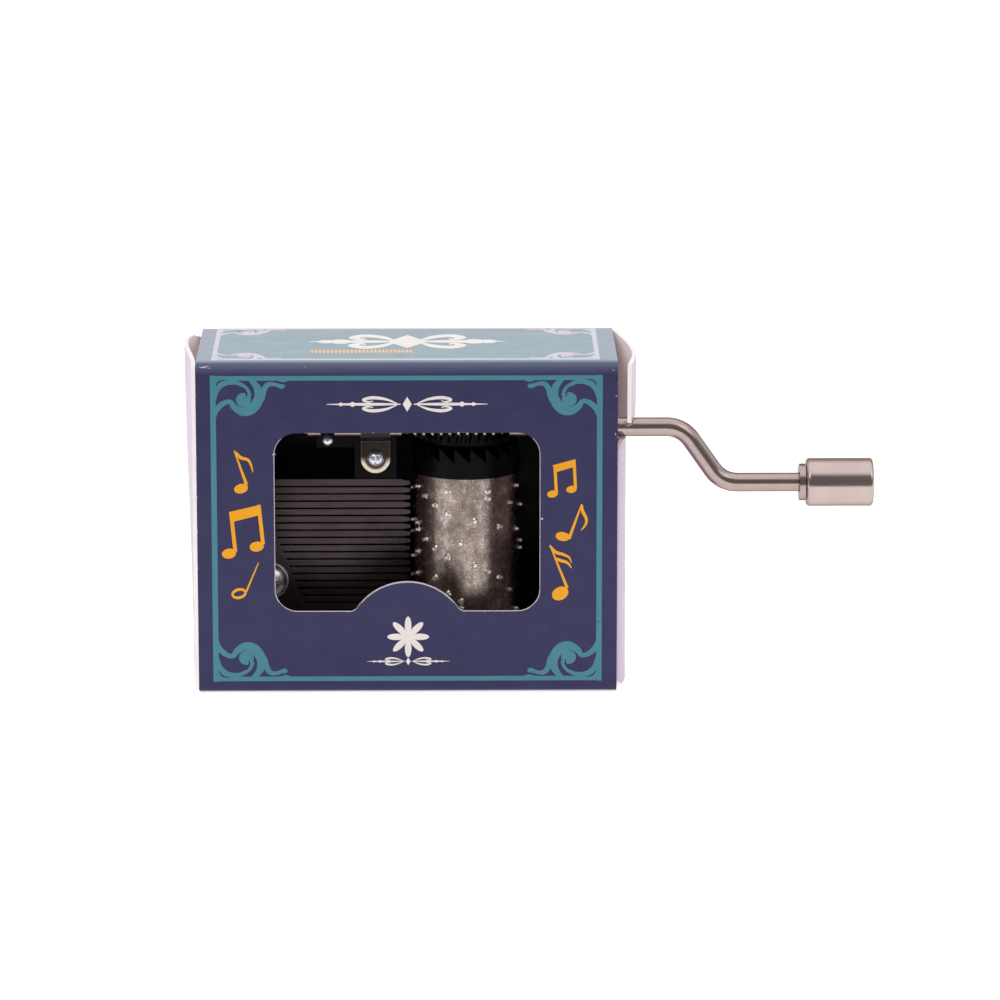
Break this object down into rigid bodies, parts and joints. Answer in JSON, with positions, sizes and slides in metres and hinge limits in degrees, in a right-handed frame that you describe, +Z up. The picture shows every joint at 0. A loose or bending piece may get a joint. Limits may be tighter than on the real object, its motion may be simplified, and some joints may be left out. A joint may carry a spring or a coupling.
{
  "type": "cylinder music box",
  "caption": "Hand-cranked musical movement with pinned cylinder, steel comb and worm drive, in a small printed board carton with a die-cut window.",
  "frame": {"origin": "centre of the carton's underside", "axes": "+X along the crank shaft towards the handle, +Y towards the back panel, +Z up"},
  "size_m": [0.0876, 0.024, 0.0425],
  "materials": {
    "printed_board": "satin printed paperboard",
    "flap_board": "satin printed paperboard",
    "inner_board": "uncoated paperboard",
    "black_plastic": "semi-gloss moulded",
    "comb_steel": "hardened, dark",
    "bright_steel": "bright plated",
    "cylinder_steel": "plated",
    "spring_steel": "rolled strip",
    "arbor_steel": "ground",
    "washer_brass": "plain",
    "crank_steel": "nickel plated",
    "knob_metal": "satin plated"
  },
  "bodies": {
    "case": {"carton_sleeve": "printed_board", "left_upper_dust_flap": "inner_board", "left_lower_dust_flap": "inner_board", "right_upper_dust_flap": "inner_board", "right_lower_dust_flap": "inner_board", "bedplate": "black_plastic", "comb": "comb_steel", "comb_washers": "bright_steel", "comb_screws": "bright_steel", "arbor": "arbor_steel", "arbor_washers": "washer_brass", "retaining_pin": "bright_steel", "shaft_strap": "spring_steel", "strap_screw": "bright_steel"},
    "left_flap": {"left_end_flap": "flap_board"},
    "right_flap": {"right_end_flap": "flap_board"},
    "crank": {"crank_rod": "crank_steel", "handle_collar": "crank_steel"},
    "knob": {"handle_knob": "knob_metal"},
    "cylinder": {"pinned_cylinder": "cylinder_steel", "cylinder_end_cap": "black_plastic", "ratchet_collar": "black_plastic"},
    "wheel": {"worm_wheel": "black_plastic", "click_spring": "spring_steel"}
  },
  "joints": [
    {"name": "crank_turn", "type": "hinge", "parent": "case", "child": "crank", "pos_m": [0, -0.00761, 0.0334], "axis": [1, 0, 0], "continuous": true},
    {"name": "knob_spin", "type": "hinge", "parent": "crank", "child": "knob", "pos_m": [0.05, -0.00761, 0.0262], "axis": [1, 0, 0], "continuous": true},
    {"name": "wheel_turn", "type": "hinge", "parent": "case", "child": "wheel", "pos_m": [0.0075, 0, 0], "axis": [0, 0, 1], "continuous": true},
    {"name": "cylinder_turn", "type": "hinge", "parent": "case", "child": "cylinder", "pos_m": [0.0075, 0, 0], "axis": [0, 0, 1], "continuous": true},
    {"name": "left_flap_open", "type": "hinge", "parent": "case", "child": "left_flap", "pos_m": [-0.0265, -0.012, 0], "axis": [0, 0, 1], "range_deg": [0, 115]},
    {"name": "right_flap_open", "type": "hinge", "parent": "case", "child": "right_flap", "pos_m": [0.0265, 0.012, 0], "axis": [0, 0, 1], "range_deg": [0, 14]}
  ],
  "couplings": [
    {"joint": "wheel_turn", "follows": "crank_turn", "ratio": -0.026316},
    {"joint": "cylinder_turn", "follows": "crank_turn", "ratio": -0.026316}
  ]
}
